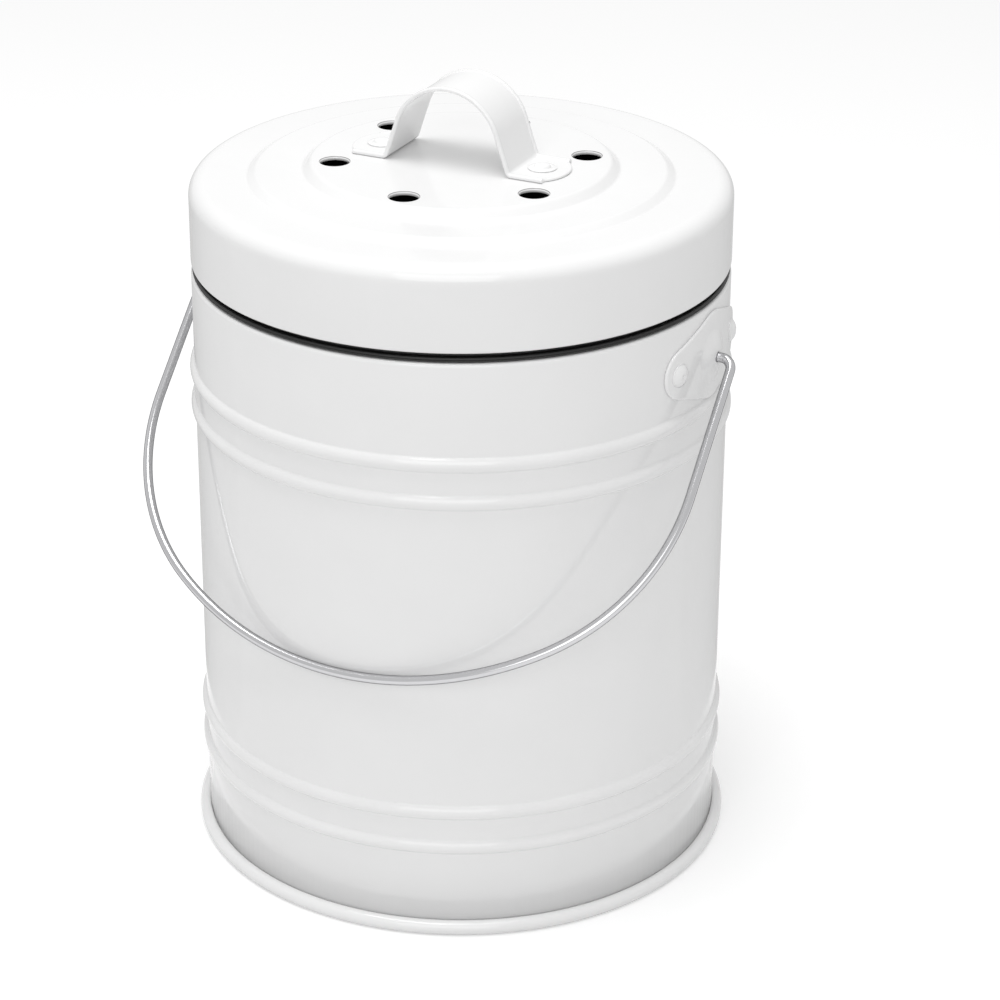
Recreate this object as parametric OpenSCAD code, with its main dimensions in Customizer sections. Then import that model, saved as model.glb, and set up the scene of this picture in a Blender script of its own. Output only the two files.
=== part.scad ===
// Kitchen compost caddy: a white steel pail with a lift-off vented lid and a wire bail.
// Millimetres. The origin is the centre of the foot on the floor, +Z is up, the front is -Y,
// and the bail turns about a line along X through the two ears.

/* [Pail] */
// Outer diameter of the pail wall, which the lid matches
body_d = 182; // [160:1:220]
// Height of the pail from the floor to the top of its curled rim
body_h = 208; // [190:1:260]
// Thickness of the pail's wall
wall = 0.8; // [0.6:0.1:1.4]
// Radius of the solid curl along the rim, turned inwards
rim_r = 1.4; // [1.1:0.1:1.8]

/* [Beads] */
// How far each rolled bead stands out from the wall
bead_out = 1.5; // [1:0.1:2]
// Height of one bead along the wall
bead_w = 5.2; // [4:0.2:7]
// Distance between the two beads of a pair
bead_pitch = 13.2; // [10:0.2:18]
// Height of the lowest bead above the floor
low_bead_z = 33; // [22:1:45]
// Distance from the rim down to the uppermost bead
top_bead_drop = 34.8; // [34:0.2:50]

/* [Foot] */
// Radius of the foot ring's roll
foot_roll_r = 2.5; // [2:0.1:3]
// Depth that the roll is cut flat where it stands
foot_flat = 0.2; // [0.1:0.05:0.5]
// How far the foot ring stands out from the wall
foot_out = 3.6; // [3:0.1:5]
// Height of the bottom plate's underside above the floor
pan_z = 4; // [3:0.5:8]
// Thickness of the bottom plate
pan_t = 0.8; // [0.6:0.1:1.4]
// Height of the gap under the turned edge of the bottom plate
pan_edge_z = 1; // [0.6:0.1:2]

/* [Lid] */
// Gap between the pail's rim and the lid's lower edge, where the seal shows
seal_show = 3.2; // [2.8:0.1:4]
// Height of the lid's skirt up to the flat edge of its top
lid_skirt_h = 28.4; // [26:0.2:36]
// Thickness of the lid's sheet
lid_t = 0.8; // [0.6:0.1:1.2]
// Radius of the rounded corner between skirt and top
lid_corner = 5.5; // [3:0.5:7]
// Radius of the hem rolled in along the skirt's lower edge
hem_r = 1.1; // [0.9:0.1:1.3]
// Radius of the outer step pressed into the top
step_out_r = 70; // [65:1:76]
// Radius of the inner step pressed into the top
step_in_r = 51.5; // [51:0.5:58]
// Rise of the outer step
step_h = 2; // [1:0.2:3]
// Rise of the inner step
step_in_h = 2.9; // [1:0.1:3.5]
// Width of each step's slope
step_w = 3; // [2:0.5:4]

/* [Vent holes] */
// Number of vent holes round the handle
vent_n = 6; // [4:2:6]
// Diameter of one vent hole
vent_d = 10.7; // [8:0.1:11]
// Radius of the circle of vent holes
vent_circle_r = 42.1; // [41:0.1:43]

/* [Lid handle] */
// Width of the strap
strap_w = 24; // [20:1:28]
// Thickness of the strap
strap_t = 1; // [0.8:0.1:1.6]
// Radius of the strap's arch on its outside
arch_r = 19.3; // [18:0.1:21]
// Height of the arch above the lid's top
arch_h = 27.2; // [26:0.2:32]
// Lean of the strap's two legs away from upright, in degrees
leg_lean = 18.7; // [14:0.1:20]
// Radius inside the bend between leg and foot
strap_bend = 1.5; // [1:0.1:2]
// Distance from the bend at the foot to the handle rivet
rivet_past = 5.9; // [5.6:0.1:7]
// Distance from the handle rivet to the end of the foot's straight edge
foot_past = 5.2; // [4.8:0.1:6]
// How far the foot's rounded end bulges past its straight edge
foot_bulge = 4.2; // [3:0.1:4.5]
// Width of the hem along each edge of the strap
strap_hem_w = 1.6; // [1:0.1:2]
// Height of that hem above the strap
strap_hem_h = 0.5; // [0.2:0.1:0.7]
// How much narrower the rounded foot end is on each side than the strap
foot_notch = 0.8; // [0.5:0.1:1.2]

/* [Ears] */
// Distance from the rim down to the middle of the ears
ear_drop = 17.2; // [16.4:0.1:17.2]
// Radius of the ear's middle
ear_mid_r = 15; // [14:0.1:15]
// Radius of the ear's two ends
ear_end_r = 8.8; // [8:0.1:9.5]
// Distance from the ear's middle to the centre of each rounded end
ear_end_y = 19.9; // [19:0.1:22]
// Distance from the ear's middle to each of its rivets
ear_rivet_y = 21.8; // [20:0.1:22.5]
// Thickness of the ear's plate
ear_t = 1.1; // [0.8:0.1:1.5]
// How far the ear's domed pocket stands out from the plate
dome_out = 1.9; // [1.8:0.1:3.2]
// Radius of the pocket where it meets the plate
dome_r = 10; // [8:0.1:12]

/* [Bail] */
// Diameter of the bail's wire
wire_d = 3.2; // [2.8:0.1:3.6]
// Distance from the ear's middle down to the bail's pivot
pivot_drop = 0.8; // [0:0.1:2.5]
// Gap between the pail's wall and the middle of the wire beside the ears
bail_side_gap = 8.3; // [7.5:0.1:12]
// Length of the straight legs below the pivot
bail_leg = 49.2; // [40:0.2:60]
// How far the centre of each shoulder arc lies inside the pail's axis line on its side
shoulder_x = 23.3; // [15:0.1:35]
// How much larger the long arc's radius is than the distance from the axis to the legs
bow = 17; // [12:0.5:25]
// Radius of the bend outside the ear, to the middle of the wire
hook_r = 4.2; // [3.8:0.1:5]
// Radius of the flattened head that keeps the wire in its ear
wire_head_r = 2.5; // [2.3:0.1:2.8]
// Thickness of that head
wire_head_t = 0.9; // [0.6:0.1:1]

/* [Rivets] */
// Radius of every rivet's shank
shank_r = 2; // [1.5:0.1:2.4]
// Radius of an ear rivet's head
ear_head_r = 4; // [3.2:0.1:4.5]
// Height of an ear rivet's head
ear_head_h = 1.8; // [1.2:0.1:2.4]
// Radius of a lid rivet's head
lid_head_r = 4.6; // [3.5:0.1:4.7]
// Height of a lid rivet's head
lid_head_h = 1.5; // [1:0.1:2.2]
// Radius of every rivet's clinched tail
tail_r = 3.2; // [2.8:0.1:3.6]
// Height of every rivet's clinched tail
tail_h = 1.1; // [0.8:0.1:1.5]
// Radius of the dimple in each head
dimple_r = 0.9; // [0.5:0.1:1.2]

/* [Seal and collar] */
// Gap between the pail's rim and the collar under the lid
collar_gap = 2; // [1.8:0.1:2.6]
// Length of the collar below the pail's rim
collar_drop = 10.5; // [9:0.5:14]
// Width of the collar's flange under the lid
collar_flange = 5; // [4:0.5:8]
// Radius of the bead that holds the seal down on the collar
collar_bead_r = 1.8; // [1.4:0.1:1.9]
// Thickness of the seal's lip on the rim
lip_t = 1.6; // [1.2:0.1:1.8]
// How far the seal's lip stays inside the pail's outer face
lip_inset = 0.4; // [0.2:0.1:0.8]
// Length of the seal's flap inside the rim
flap_l = 4.5; // [3:0.5:6]
// Thickness of the seal's flap
flap_t = 1.1; // [0.8:0.1:1.3]

/* [Filter] */
// Thickness of the charcoal filter
filter_t = 8; // [6:0.5:9]
// Height of the filter holder
holder_h = 14; // [11:0.5:14]
// Thickness of the holder's wall
holder_t = 1.8; // [1.2:0.1:2.2]
// Thickness of the holder's ribs
rib_t = 2; // [1.5:0.1:2.5]
// Width of the holder's ribs
rib_w = 3; // [2:0.5:4]
// Number of the holder's spokes
spoke_n = 8; // [6:1:12]
// Gap between the top of the holder and the lid
holder_top_gap = 2.8; // [2:0.1:4]

/* [Fits] */
// Gap between pieces that are pressed or riveted together
seat_gap = 0.05; // [0.02:0.01:0.08]
// Gap between pieces that come apart
part_gap = 0.3; // [0.2:0.05:0.4]
// Radial clearance of the wire in its ear
pivot_gap = 0.08; // [0.04:0.01:0.1]

/* [Hidden] */
$fn = 96;
body_r = body_d / 2;
inner_r = body_r - wall;
top_bead_z = body_h - top_bead_drop;
bead_z = [low_bead_z, low_bead_z + bead_pitch, top_bead_z - bead_pitch, top_bead_z];
bead_arc = (bead_out * bead_out + bead_w * bead_w / 4) / (2 * bead_out);
lid_z = body_h + seal_show;
lid_edge_z = lid_z + lid_skirt_h;
lid_top_z = lid_edge_z + step_h + step_in_h;
centre_r = step_in_r - step_w / 2;
collar_r = body_r - 2 * rim_r - collar_gap;
collar_low_z = body_h - collar_drop;
collar_bead_z = lid_z + part_gap + hem_r + collar_bead_r;
ear_z = body_h - ear_drop;
ear_face = body_r + seat_gap + ear_t;
dome_face = ear_face + dome_out;
dome_ball = (dome_out * dome_out + dome_r * dome_r) / (2 * dome_out);
pivot_z = ear_z - pivot_drop;
wire_r = wire_d / 2;
bail_half = body_r + bail_side_gap;
shoulder_r = bail_half - shoulder_x;
bow_r = bail_half + bow;
bow_z = bail_leg - sqrt(pow(bow_r - shoulder_r, 2) - pow(shoulder_x, 2));
shoulder_angle = atan2(bail_leg - bow_z, shoulder_x);
bail_reach = bow_z + bow_r;
bail_lean = asin((body_r + wire_r + part_gap) / bail_reach);
strap_half = strap_w / 2;
arch_z = arch_h - arch_r;
leg_top = [arch_r * cos(leg_lean), arch_z + arch_r * sin(leg_lean)];
leg_l = (leg_top[1] + strap_bend * sin(leg_lean) - strap_t - strap_bend) / cos(leg_lean);
bend_x = leg_top[0] + strap_bend * cos(leg_lean) + leg_l * sin(leg_lean);
lid_rivet_x = bend_x + rivet_past;
foot_x = lid_rivet_x + foot_past;
foot_half = strap_half - foot_notch;
lap = 0.05;
hair = 0.01;
hole_past = 4;
wall_bow = tail_r * tail_r / inner_r;
foot_end_r = (foot_half * foot_half + foot_bulge * foot_bulge) / (2 * foot_bulge);
holder_r = collar_r - wall - part_gap;
holder_z = lid_edge_z - lid_t - holder_top_gap - holder_h;
filter_r = holder_r - holder_t - part_gap;
white = [0.93, 0.93, 0.93];

// Pail

// Puts its children at the centre of each bead's arc
module at_beads() {
    for (z = bead_z) translate([body_r + bead_out - bead_arc, z]) children();
}

// The pail's wall, with four rolled beads, a curled rim and a hole for each ear rivet
module body_shell() {
    color(white)
        difference() {
            rotate_extrude() {
                difference() {
                    union() {
                        translate([inner_r, pan_edge_z])
                            square([wall, body_h - rim_r - pan_edge_z]);
                        at_beads()
                            intersection() {
                                circle(bead_arc);
                                translate([bead_arc - bead_out - wall, -bead_arc]) square(2 * bead_arc);
                            }
                    }
                    at_beads() circle(bead_arc - wall);
                }
                translate([body_r - rim_r, body_h - rim_r]) circle(rim_r);
            }
            at_ear_rivets() rivet_hole();
        }
}

// The bottom plate, with its edge turned down inside the wall
module base_pan() {
    pan_r = inner_r - seat_gap;
    color(white)
        rotate_extrude() {
            translate([0, pan_z]) square([pan_r, pan_t]);
            translate([pan_r - pan_t, pan_edge_z]) square([pan_t, pan_z + pan_t - pan_edge_z]);
        }
}

// The rolled ring round the foot, cut flat where it stands
module foot_ring() {
    color(white)
        rotate_extrude()
            intersection() {
                translate([body_r + seat_gap, 0]) square(foot_out + foot_roll_r);
                translate([body_r + foot_out - foot_roll_r, foot_roll_r - foot_flat]) circle(foot_roll_r);
            }
}

// Rivets

// A rivet along X: its head outside x = 0, its shank and clinched tail inside
module rivet(head_r, head_h, grip) {
    ball = (head_r * head_r + head_h * head_h) / (2 * head_h);
    rotate([0, 90, 0])
        rotate_extrude() {
            difference() {
                intersection() {
                    translate([0, head_h - ball]) circle(ball);
                    square(head_r + head_h);
                }
                translate([0, head_h + dimple_r / 3]) circle(dimple_r);
            }
            translate([0, -grip - tail_h]) square([shank_r, grip + tail_h + head_h / 2]);
            polygon([
                [0, -grip - tail_h],
                [tail_r - tail_h / 2, -grip - tail_h],
                [tail_r, -grip],
                [0, -grip]
            ]);
        }
}

// The hole for a rivet's shank, run well past both sheets
module rivet_hole() {
    reach = ear_t + wall + hole_past;
    translate([-reach, 0, 0]) rotate([0, 90, 0]) cylinder(r = shank_r + seat_gap, h = 2 * reach);
}

// Puts its children on the outer face of an ear, at one rivet
module at_ear_rivet(side, end) {
    turn = asin(ear_rivet_y / body_r);
    mirror([side < 0 ? 1 : 0, 0, 0])
        rotate([0, 0, end * turn])
            translate([ear_face + seat_gap, 0, ear_z]) children();
}

module at_ear_rivets() {
    for (side = [-1, 1], end = [-1, 1]) at_ear_rivet(side, end) children();
}

module ear_rivet(side, end) {
    color(white)
        at_ear_rivet(side, end) rivet(ear_head_r, ear_head_h, ear_t + wall + 3 * seat_gap + wall_bow);
}

// Ears

// Outline of an ear: a large round middle drawn out to a smaller round end on each side, by straight
// sides whose corners lie a lap inside both circles
module ear_outline() {
    tilt = acos((ear_mid_r - ear_end_r) / ear_end_y);
    mid_in = ear_mid_r - lap;
    end_in = ear_end_r - lap;
    circle(ear_mid_r);
    for (turn = [0, 180])
        rotate(turn) {
            translate([ear_end_y, 0]) circle(ear_end_r);
            polygon([
                [0, -mid_in * sin(tilt)],
                [mid_in * cos(tilt), -mid_in * sin(tilt)],
                [ear_end_y + end_in * cos(tilt), -end_in * sin(tilt)],
                [ear_end_y + end_in * cos(tilt), end_in * sin(tilt)],
                [mid_in * cos(tilt), mid_in * sin(tilt)],
                [0, mid_in * sin(tilt)]
            ]);
        }
}

// The dome of the pocket as a solid of revolution along X, drawn in by one plate for its inside
module ear_dome(cut) {
    translate([0, 0, pivot_z])
        rotate([0, 90, 0])
            rotate_extrude()
                intersection() {
                    translate([0, dome_face - dome_ball]) circle(dome_ball - cut);
                    translate([0, body_r - 2 * ear_t]) square(2 * dome_r);
                }
}

// A plate curved to the pail, with a domed pocket that the bail's end turns in
module ear(side) {
    color(white)
        mirror([side < 0 ? 1 : 0, 0, 0])
            difference() {
                union() {
                    intersection() {
                        cylinder(r = ear_face, h = body_h);
                        translate([body_r / 2, 0, ear_z])
                            rotate([90, 0, 90]) linear_extrude(body_r) ear_outline();
                    }
                    ear_dome(0);
                }
                cylinder(r = body_r + seat_gap, h = body_h + 1);
                ear_dome(ear_t);
                translate([body_r, 0, pivot_z])
                    rotate([0, 90, 0]) cylinder(r = wire_r + pivot_gap, h = 2 * dome_out + ear_t);
                for (end = [-1, 1])
                    rotate([0, 0, end * asin(ear_rivet_y / body_r)])
                        translate([ear_face, 0, ear_z]) rivet_hole();
            }
}

// Bail

// A stretch of wire bent round an arc in the XY plane
module wire_arc(radius, from, to) {
    rotate_extrude(angle = to - from, start = from) translate([radius, 0]) circle(wire_r);
}

// One half of the bail, drawn hanging straight down: y is the height over the pivot
module bail_half_wire() {
    hook_x = bail_half - hook_r;
    head_x = body_r + seat_gap + part_gap;
    translate([head_x, 0, 0]) rotate([0, 90, 0]) cylinder(r = wire_head_r, h = wire_head_t);
    translate([head_x, 0, 0]) rotate([0, 90, 0]) cylinder(r = wire_r, h = hook_x - head_x);
    translate([hook_x, -hook_r, 0]) wire_arc(hook_r, 0, 90);
    translate([bail_half, -bail_leg, 0]) rotate([-90, 0, 0]) cylinder(r = wire_r, h = bail_leg - hook_r);
    translate([shoulder_x, -bail_leg, 0]) wire_arc(shoulder_r, -shoulder_angle, 0);
    translate([0, -bow_z, 0]) wire_arc(bow_r, -90, -shoulder_angle);
}

// The wire bail, resting against the front of the pail
module bail_wire() {
    color([0.75, 0.75, 0.76])
        translate([0, 0, pivot_z])
            rotate([90 - bail_lean, 0, 0]) {
                bail_half_wire();
                mirror([1, 0, 0]) bail_half_wire();
            }
}

// Lid

// Section of the lid as a filled block, drawn in by one sheet thickness where inset is set
module lid_block(inset) {
    low = lid_z - inset;
    corner_x = body_r - lid_corner;
    translate([0, low]) square([corner_x, lid_edge_z - inset - low]);
    translate([0, low]) square([body_r - inset, lid_edge_z - lid_corner - low]);
    translate([corner_x, lid_edge_z - lid_corner]) circle(lid_corner - inset);
    polygon([
        [0, low],
        [step_out_r + step_w / 2, low],
        [step_out_r + step_w / 2, lid_edge_z - inset],
        [step_out_r - step_w / 2, lid_edge_z + step_h - inset],
        [step_in_r + step_w / 2, lid_edge_z + step_h - inset],
        [step_in_r - step_w / 2, lid_top_z - inset],
        [0, lid_top_z - inset]
    ]);
}

// The stepped lid round its flat middle, with a hem rolled in along its skirt
module lid_shell() {
    color(white)
        rotate_extrude() {
            intersection() {
                difference() {
                    lid_block(0);
                    lid_block(lid_t);
                }
                translate([centre_r + seat_gap, lid_z]) square([body_r, lid_top_z]);
            }
            translate([body_r - hem_r, lid_z + hem_r]) circle(hem_r);
        }
}

// The lid's flat middle, with the vent holes round the handle: one sheet with the rest on the real lid
module lid_centre() {
    vent_step = 360 / vent_n;
    color(white)
        difference() {
            translate([0, 0, lid_top_z - lid_t]) cylinder(r = centre_r, h = lid_t);
            for (i = [0 : vent_n - 1])
                rotate([0, 0, (i + 0.5) * vent_step])
                    translate([vent_circle_r, 0, lid_top_z - 2 * step_h]) cylinder(d = vent_d, h = 4 * step_h);
            at_lid_rivets() rivet_hole();
        }
}

// The ring under the lid that centres it in the pail, with a flange above and a bead for the seal
module lid_collar() {
    past_flat = max(0, collar_r - body_r + lid_corner);
    lid_over = lid_edge_z - lid_corner + sqrt(pow(lid_corner - lid_t, 2) - pow(past_flat, 2));
    flange_z = lid_over - seat_gap - wall;
    color(white)
        rotate_extrude() {
            translate([collar_r - wall, collar_low_z]) square([wall, flange_z - collar_low_z]);
            translate([collar_r - wall, flange_z]) circle(wall);
            translate([collar_r - collar_flange, flange_z]) square([collar_flange - wall, wall]);
            translate([collar_r, collar_low_z + wall]) circle(wall);
            intersection() {
                translate([collar_r, collar_bead_z]) circle(collar_bead_r);
                translate([collar_r - wall, lid_z]) square([2 * collar_bead_r, 4 * collar_bead_r]);
            }
        }
}

// The rubber ring: a lip on the rim, a neck up to the collar's bead and a flap inside the rim
module seal_ring() {
    in_r = collar_r + seat_gap;
    lip_z = body_h + part_gap;
    neck_out = body_r - 2 * hem_r - part_gap;
    color([0.08, 0.08, 0.08])
        rotate_extrude() {
            translate([in_r, lip_z]) square([body_r - lip_inset - in_r - lip_t / 2, lip_t]);
            translate([body_r - lip_inset - lip_t / 2, lip_z + lip_t / 2]) circle(lip_t / 2);
            translate([in_r, lip_z])
                square([neck_out - in_r, collar_bead_z - collar_bead_r - seat_gap - lip_z]);
            translate([in_r, lip_z - flap_l]) square([flap_t, flap_l + lip_t]);
        }
}

// Lid handle

// A wedge from one angle to another, to cut a ring down to a bend
module wedge(from, to, radius) {
    mid = (from + to) / 2;
    polygon([
        [0, 0],
        [radius * cos(from), radius * sin(from)],
        [radius * cos(mid), radius * sin(mid)],
        [radius * cos(to), radius * sin(to)]
    ]);
}

// A bend in the sheet between two radii
module bend(inside, outside, from, to) {
    intersection() {
        difference() {
            circle(outside);
            circle(inside);
        }
        wedge(from, to, 3 * outside);
    }
}

// Side view of a layer of the strap's bent sheet, from root under the sheet's outer face to lift over it.
// Each straight runs a lap into its bends and is a hair thinner, so no face lies on another.
module strap_side(root, lift, end_x) {
    depth = root + lift - 2 * hair;
    translate([0, arch_z]) bend(arch_r - root, arch_r + lift, leg_lean, 180 - leg_lean);
    for (side = [0, 1])
        mirror([side, 0]) {
            translate(leg_top) rotate(leg_lean - 90)
                translate([-lap, hair - root]) square([leg_l + 2 * lap, depth]);
            translate([bend_x, strap_t + strap_bend])
                bend(strap_bend - lift, strap_bend + root, 180 + leg_lean, 270);
            translate([bend_x - lap, strap_t - root + hair]) square([end_x - bend_x + lap, depth]);
        }
}

// The strap's sheet, as wide as the strap
module strap_sheet() {
    translate([0, strap_half, 0]) rotate([90, 0, 0]) linear_extrude(strap_w) strap_side(strap_t, 0, foot_x);
}

// The hem along the strap's front edge, rooted in the sheet and a hair past its edge
module strap_hem() {
    translate([0, strap_hem_w - strap_half, 0])
        rotate([90, 0, 0]) linear_extrude(strap_hem_w + hair) strap_side(strap_t / 2, strap_hem_h, foot_x - lap);
}

// The rounded end of one foot, past the strap's hems
module foot_end() {
    translate([0, 0, 2 * hair])
        linear_extrude(strap_t - 4 * hair)
            intersection() {
                translate([foot_x + foot_bulge - foot_end_r, 0]) circle(foot_end_r);
                translate([foot_x - strap_t, -foot_half]) square([foot_bulge + 2 * strap_t, 2 * foot_half]);
            }
}

// Puts its children on a foot's upper face at each handle rivet, with x pointing up
module at_lid_rivet(side) {
    translate([side * lid_rivet_x, 0, lid_top_z + seat_gap + strap_t + seat_gap])
        rotate([0, -90, 0]) children();
}

module at_lid_rivets() {
    for (side = [-1, 1]) at_lid_rivet(side) children();
}

// The arched strap, with a raised hem along both edges and a rounded foot at each end
module lid_handle() {
    color(white)
        difference() {
            translate([0, 0, lid_top_z + seat_gap]) {
                strap_sheet();
                for (side = [0, 1]) mirror([0, side, 0]) strap_hem();
                for (side = [0, 1]) mirror([side, 0, 0]) foot_end();
            }
            at_lid_rivets() rivet_hole();
        }
}

module lid_rivet(side) {
    color(white)
        at_lid_rivet(side) rivet(lid_head_r, lid_head_h, strap_t + lid_t + 3 * seat_gap);
}

// Filter

// The tray that holds the filter up in the lid: a wall, a ledge, two rings and spokes
module filter_holder() {
    ring_gap = holder_r / 3;
    color([0.12, 0.12, 0.12])
        translate([0, 0, holder_z]) {
            rotate_extrude() {
                translate([holder_r - holder_t, 0]) square([holder_t, holder_h]);
                translate([holder_r - holder_t - rib_w, 0]) square([holder_t + rib_w, rib_t]);
                for (i = [1, 2]) translate([i * ring_gap - rib_w / 2, 0]) square([rib_w, rib_t]);
            }
            cylinder(r = 2 * rib_w, h = rib_t);
            for (i = [0 : spoke_n - 1])
                rotate([0, 0, i * 360 / spoke_n])
                    translate([0, -rib_w / 2, 0]) cube([holder_r - holder_t, rib_w, rib_t]);
        }
}

// The disc of charcoal felt that lies on the holder's spokes
module charcoal_filter() {
    color([0.15, 0.15, 0.16])
        translate([0, 0, holder_z + rib_t + seat_gap]) cylinder(r = filter_r, h = filter_t);
}

body_shell();
base_pan();
foot_ring();
ear(1);  // ear_right
ear(-1);  // ear_left
ear_rivet(1, -1);  // ear_rivet_right_front
ear_rivet(1, 1);  // ear_rivet_right_back
ear_rivet(-1, -1);  // ear_rivet_left_front
ear_rivet(-1, 1);  // ear_rivet_left_back
bail_wire();
lid_shell();
lid_centre();
lid_collar();
seal_ring();
lid_handle();
lid_rivet(1);  // lid_rivet_right
lid_rivet(-1);  // lid_rivet_left
filter_holder();
charcoal_filter();
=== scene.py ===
"""Compost caddy: the looks of a white enamelled steel pail with a vented lift-off lid and a wire bail.

Everything is in metres, in the frame of the packed model: the origin is the centre of the foot on the
floor, +Z is up and the front is -Y. Each piece is a surface worked out with numpy on a grid of points.
"""

import math

import bmesh
import bpy
import numpy as np
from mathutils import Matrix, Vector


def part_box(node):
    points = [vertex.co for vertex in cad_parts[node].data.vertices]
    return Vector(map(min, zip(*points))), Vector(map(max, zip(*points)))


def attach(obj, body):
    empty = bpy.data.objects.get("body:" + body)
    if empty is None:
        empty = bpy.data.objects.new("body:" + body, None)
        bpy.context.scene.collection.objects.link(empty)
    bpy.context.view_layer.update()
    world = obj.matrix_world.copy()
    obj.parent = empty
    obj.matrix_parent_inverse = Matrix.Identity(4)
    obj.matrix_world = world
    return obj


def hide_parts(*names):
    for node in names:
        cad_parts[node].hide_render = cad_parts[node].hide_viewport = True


bl_info = {
    "name": "Compost Caddy",
    "version": (1, 0, 0),
    "blender": (4, 5, 0),
    "location": "View3D > Sidebar > Caddy",
    "description": "Builds the enamelled pail, its vented lid, bail, strap handle, seal and filter",
    "category": "Add Mesh",
}

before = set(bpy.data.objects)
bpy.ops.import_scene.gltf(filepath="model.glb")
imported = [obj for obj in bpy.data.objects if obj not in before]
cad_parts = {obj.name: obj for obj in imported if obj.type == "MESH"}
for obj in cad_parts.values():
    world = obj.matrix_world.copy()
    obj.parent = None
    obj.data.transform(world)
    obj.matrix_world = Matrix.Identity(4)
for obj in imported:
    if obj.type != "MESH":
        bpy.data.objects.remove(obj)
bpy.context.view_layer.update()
MM = 0.001
TURN = 2 * math.pi
SEGMENTS = 192
# The gap that the packed solids keep between pieces that seat on one another
SEAT = 0.05 * MM

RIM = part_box("body_shell")[1].z
LID_LOW, LID_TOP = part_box("lid_shell")[0].z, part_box("lid_centre")[1].z
WALL_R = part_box("lid_shell")[1].x


def length(title, text, metres):
    """A property that holds a length in metres."""
    return bpy.props.FloatProperty(
        name=title, description=text, default=metres, min=0.0, precision=5, unit="LENGTH"
    )


def linear(code):
    """An sRGB hex colour as linear RGBA."""
    srgb = np.array([int(code[i : i + 2], 16) for i in (1, 3, 5)]) / 255
    rgb = np.where(srgb <= 0.04045, srgb / 12.92, ((srgb + 0.055) / 1.055) ** 2.4)
    return (*rgb, 1.0)


def tint(title, text, code):
    """A property that holds a colour, given as an sRGB hex value."""
    return bpy.props.FloatVectorProperty(
        name=title, description=text, default=linear(code), size=4, min=0.0, max=1.0, subtype="COLOR"
    )


class CaddyPail(bpy.types.PropertyGroup):
    """Sizes of the pail and its foot"""

    radius: length("Radius", "Outer radius of the wall", WALL_R)
    wall: length("Wall", "Thickness of the sheet", 0.8 * MM)
    curl: length("Curl", "Radius of the curl along the rim", 1.4 * MM)
    low: length("Lower edge", "Height of the wall's lower edge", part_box("body_shell")[0].z)
    bead_out: length("Bead", "How far each bead stands out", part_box("body_shell")[1].x - WALL_R)
    bead_half: length("Bead half height", "Half the height of one bead", 2.6 * MM)
    bead_root: length("Bead root", "Radius of the hollow beside each bead", 0.8 * MM)
    bead_low: length("Lowest bead", "Height of the lowest bead", 33 * MM)
    bead_high: length("Highest bead", "Height of the highest bead", 173.2 * MM)
    bead_pitch: length("Bead pitch", "Distance between the beads of a pair", 13.2 * MM)
    foot_roll: length("Foot roll", "Radius of the rolled foot ring", 2.5 * MM)
    foot_flat: length("Foot flat", "Depth that the foot ring is cut flat", 0.2 * MM)
    pan: length("Bottom", "Height of the bottom plate's underside", 4 * MM)


class CaddyEars(bpy.types.PropertyGroup):
    """Sizes of the bail ears and their rivets"""

    drop: length("Ear drop", "Distance from the rim to the middle of an ear", 17.2 * MM)
    mid: length("Middle radius", "Radius of the ear's middle", 15 * MM)
    end: length("End radius", "Radius of the ear's ends", 8.8 * MM)
    end_y: length("End distance", "Distance from the ear's middle to the centre of each end", 19.9 * MM)
    rivet_y: length("Rivet distance", "Distance from the ear's middle to each rivet", 21.8 * MM)
    plate: length("Plate", "Thickness of the ear", 1.1 * MM)
    dome_out: length("Pocket height", "How far the pocket stands out", 1.9 * MM)
    dome_r: length("Pocket radius", "Radius of the pocket at the plate", 10 * MM)
    head_r: length("Rivet head radius", "Radius of a rivet's head", 4 * MM)
    head_h: length("Rivet head height", "Height of a rivet's head", 1.8 * MM)
    dimple_r: length("Dimple radius", "Radius of the dimple in a rivet's head", 0.7 * MM)
    dimple_deep: length("Dimple depth", "Depth of the dimple in a rivet's head", 0.45 * MM)


class CaddyBail(bpy.types.PropertyGroup):
    """Sizes of the wire bail"""

    wire: length("Wire radius", "Radius of the wire", 1.6 * MM)
    pivot: length("Pivot height", "Height of the pivot", 190 * MM)
    half: length("Half width", "Distance from the middle to each leg", 99.3 * MM)
    leg: length("Leg", "Length of the straight legs below the pivot", 49.2 * MM)
    shoulder: length("Shoulder radius", "Radius of the arc below each leg", 76 * MM)
    bow: length("Bow radius", "Radius of the long lower arc", 116.3 * MM)
    hook: length("Hook radius", "Radius of the bend outside the ear", 4.2 * MM)
    gap: length("Rest gap", "Gap between the hanging wire and the wall", 0.3 * MM)


class CaddyLid(bpy.types.PropertyGroup):
    """Sizes of the lid"""

    sheet: length("Sheet", "Thickness of the lid's sheet", 0.8 * MM)
    corner: length("Corner", "Radius between skirt and top", 5.5 * MM)
    hem: length("Hem", "Radius of the hem along the skirt", 1.1 * MM)
    step_out: length("Outer step", "Radius of the outer step", 70 * MM)
    step_in: length("Inner step", "Radius of the inner step", 51.5 * MM)
    rise_out: length("Outer rise", "Rise of the outer step", 2 * MM)
    rise_in: length("Inner rise", "Rise of the inner step", 2.9 * MM)
    slope: length("Slope", "Width of each step's slope", 3 * MM)
    vent_r: length("Vent radius", "Radius of one vent hole", 4.85 * MM)
    vent_circle: length("Vent circle", "Radius of the circle of vent holes", 42.1 * MM)
    vent_lip: length("Vent lip", "Width of the edge rounded down into a vent hole", 0.45 * MM)
    vent_deep: length("Vent depth", "Height of the edge turned down round a vent hole", 1.4 * MM)


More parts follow.
